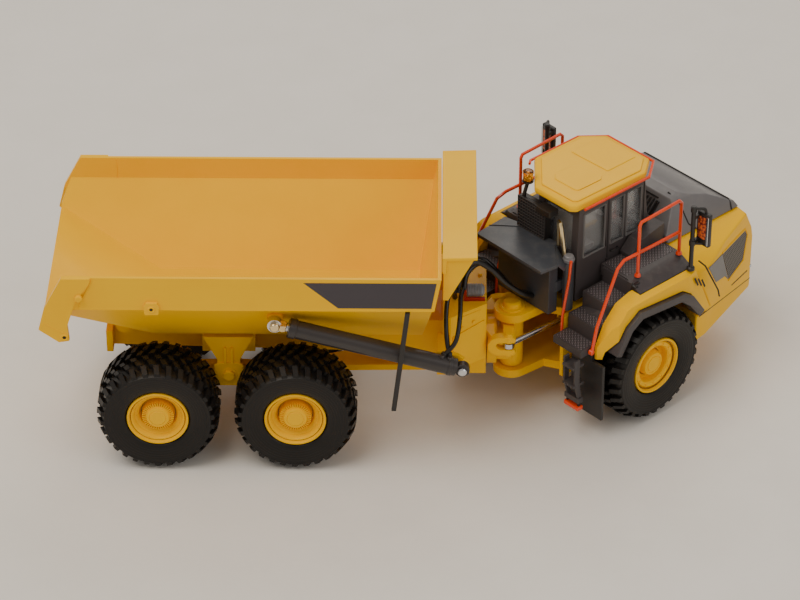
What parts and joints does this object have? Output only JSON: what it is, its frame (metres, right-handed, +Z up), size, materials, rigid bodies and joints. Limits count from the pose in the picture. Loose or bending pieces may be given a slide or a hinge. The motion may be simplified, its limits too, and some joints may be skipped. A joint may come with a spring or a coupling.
{
  "type": "articulated dump truck scale model",
  "caption": "Scale model of an articulated dump truck: tipping body on a rear bogie, steering hitch, front unit with hollow cab, rams and turning wheels.",
  "frame": {"origin": "middle of the model's box, on the ground", "axes": "+X forward along the rear unit, +Y to the left, +Z up; the front unit is steered to its left stop"},
  "size_m": [0.2437, 0.1217, 0.0868],
  "materials": {
    "yellow": "gloss yellow enamel",
    "grey": "satin dark grey enamel",
    "black": "matt black moulded plastic",
    "orange": "orange-red enamel",
    "rubber": "black tyre rubber",
    "steel": "bright steel",
    "gold": "pale gold plating",
    "clear": "clear moulded window insert",
    "amber": "clear amber plastic"
  },
  "bodies": {
    "rear_unit": {"rear_frame": "yellow", "bogie_beam_left": "yellow", "bogie_beam_right": "yellow", "rear_axle_1": "yellow", "rear_axle_2": "yellow", "lower_stay": "yellow"},
    "dump_body": {"dump_body": "yellow", "spill_guard": "yellow", "mudflap_left": "black", "mudflap_right": "black"},
    "hitch": {"hitch_knuckle": "yellow"},
    "front_unit": {"front_frame": "yellow", "front_axle": "yellow", "nose": "yellow", "hood": "grey", "cab_shell": "grey", "cab_glazing": "clear", "cab_roof": "yellow", "cab_seat": "black", "roof_rail": "orange", "cooler_guard": "black", "rear_cover": "grey", "exhaust_pipe": "gold", "beacon": "amber", "fender_left": "yellow", "arch_lip_left": "grey", "deck_left": "grey", "front_flap_left": "black", "ladder_left": "grey", "handrail_left": "orange", "grab_rail_left": "orange", "mirror_left": "black", "fender_right": "yellow", "arch_lip_right": "grey", "deck_right": "grey", "front_flap_right": "black", "ladder_right": "grey", "handrail_right": "orange", "grab_rail_right": "orange", "mirror_right": "black"},
    "wheel_rear_1_left": {"tyre_rear_1_left": "rubber", "rim_rear_1_left": "yellow"},
    "wheel_rear_2_left": {"tyre_rear_2_left": "rubber", "rim_rear_2_left": "yellow"},
    "wheel_front_left": {"tyre_front_left": "rubber", "rim_front_left": "yellow"},
    "hoist_barrel_left": {"hoist_barrel_left": "grey"},
    "hoist_rod_left": {"hoist_rod_left": "steel"},
    "steering_barrel_left": {"steering_barrel_left": "yellow"},
    "steering_rod_left": {"steering_rod_left": "steel"},
    "wheel_rear_1_right": {"tyre_rear_1_right": "rubber", "rim_rear_1_right": "yellow"},
    "wheel_rear_2_right": {"tyre_rear_2_right": "rubber", "rim_rear_2_right": "yellow"},
    "wheel_front_right": {"tyre_front_right": "rubber", "rim_front_right": "yellow"},
    "hoist_barrel_right": {"hoist_barrel_right": "grey"},
    "hoist_rod_right": {"hoist_rod_right": "steel"},
    "steering_barrel_right": {"steering_barrel_right": "yellow"},
    "steering_rod_right": {"steering_rod_right": "steel"}
  },
  "joints": [
    {"name": "body_tip", "type": "hinge", "parent": "rear_unit", "child": "dump_body", "pos_m": [-0.0958, -0.0213, 0.041], "axis": [0, -1, 0], "range_deg": [0, 60]},
    {"name": "roll", "type": "hinge", "parent": "rear_unit", "child": "hitch", "pos_m": [0.0359, -0.0213, 0.028], "axis": [1, 0, 0], "range_deg": [-2.5, 2.5]},
    {"name": "steering", "type": "hinge", "parent": "hitch", "child": "front_unit", "pos_m": [0.0359, -0.0213, 0.028], "axis": [0, 0, 1], "range_deg": [-85.66, 0]},
    {"name": "wheel_rear_1_left_turn", "type": "hinge", "parent": "rear_unit", "child": "wheel_rear_1_left", "pos_m": [-0.0838, 0.0082, 0.0208], "axis": [0, 1, 0], "continuous": true},
    {"name": "wheel_rear_2_left_turn", "type": "hinge", "parent": "rear_unit", "child": "wheel_rear_2_left", "pos_m": [-0.0374, 0.0082, 0.0208], "axis": [0, 1, 0], "continuous": true},
    {"name": "wheel_front_left_turn", "type": "hinge", "parent": "front_unit", "child": "wheel_front_left", "pos_m": [0.03983, 0.02257, 0.0208], "axis": [-0.6798, 0.7334, 0], "continuous": true},
    {"name": "hoist_swing_left", "type": "hinge", "parent": "rear_unit", "child": "hoist_barrel_left", "pos_m": [0.0187, 0.0117, 0.0387], "axis": [0, 1, 0], "range_deg": [0, 13.07]},
    {"name": "hoist_stroke_left", "type": "slide", "parent": "hoist_barrel_left", "child": "hoist_rod_left", "axis": [-0.9622, 0, 0.2725], "range_m": [0, 0.0513]},
    {"name": "steering_swing_left", "type": "hinge", "parent": "front_unit", "child": "steering_barrel_left", "pos_m": [0.05776, 0.01396, 0.034], "axis": [0, 0, 1], "range_deg": [-0.2, 1.3]},
    {"name": "steering_stroke_left", "type": "slide", "parent": "steering_barrel_left", "child": "steering_rod_left", "axis": [-0.704, -0.7102, 0], "range_m": [-0.0002, 0.01658]},
    {"name": "wheel_rear_1_right_turn", "type": "hinge", "parent": "rear_unit", "child": "wheel_rear_1_right", "pos_m": [-0.0838, -0.0508, 0.0208], "axis": [0, 1, 0], "continuous": true},
    {"name": "wheel_rear_2_right_turn", "type": "hinge", "parent": "rear_unit", "child": "wheel_rear_2_right", "pos_m": [-0.0374, -0.0508, 0.0208], "axis": [0, 1, 0], "continuous": true},
    {"name": "wheel_front_right_turn", "type": "hinge", "parent": "front_unit", "child": "wheel_front_right", "pos_m": [0.07994, -0.0207, 0.0208], "axis": [-0.6798, 0.7334, 0], "continuous": true},
    {"name": "hoist_swing_right", "type": "hinge", "parent": "rear_unit", "child": "hoist_barrel_right", "pos_m": [0.0187, -0.0543, 0.0387], "axis": [0, 1, 0], "range_deg": [0, 13.07]},
    {"name": "hoist_stroke_right", "type": "slide", "parent": "hoist_barrel_right", "child": "hoist_rod_right", "axis": [-0.9622, 0, 0.2725], "range_m": [0, 0.0513]},
    {"name": "steering_swing_right", "type": "hinge", "parent": "front_unit", "child": "steering_barrel_right", "pos_m": [0.07271, -0.00217, 0.034], "axis": [0, 0, 1], "range_deg": [-0.2, 1.3]},
    {"name": "steering_stroke_right", "type": "slide", "parent": "steering_barrel_right", "child": "steering_rod_right", "axis": [-0.7737, -0.6335, 0], "range_m": [-0.01658, 0.0002]}
  ],
  "couplings": [
    {"joint": "hoist_swing_left", "follows": "body_tip", "ratio": 0.20958},
    {"joint": "hoist_stroke_left", "follows": "body_tip", "m_per_rad": 0.048508},
    {"joint": "steering_swing_left", "follows": "steering", "ratio": -0.01281},
    {"joint": "steering_stroke_left", "follows": "steering", "m_per_rad": -0.010956},
    {"joint": "hoist_swing_right", "follows": "body_tip", "ratio": 0.20958},
    {"joint": "hoist_stroke_right", "follows": "body_tip", "m_per_rad": 0.048508},
    {"joint": "steering_swing_right", "follows": "steering", "ratio": -0.01281},
    {"joint": "steering_stroke_right", "follows": "steering", "m_per_rad": 0.010956}
  ]
}
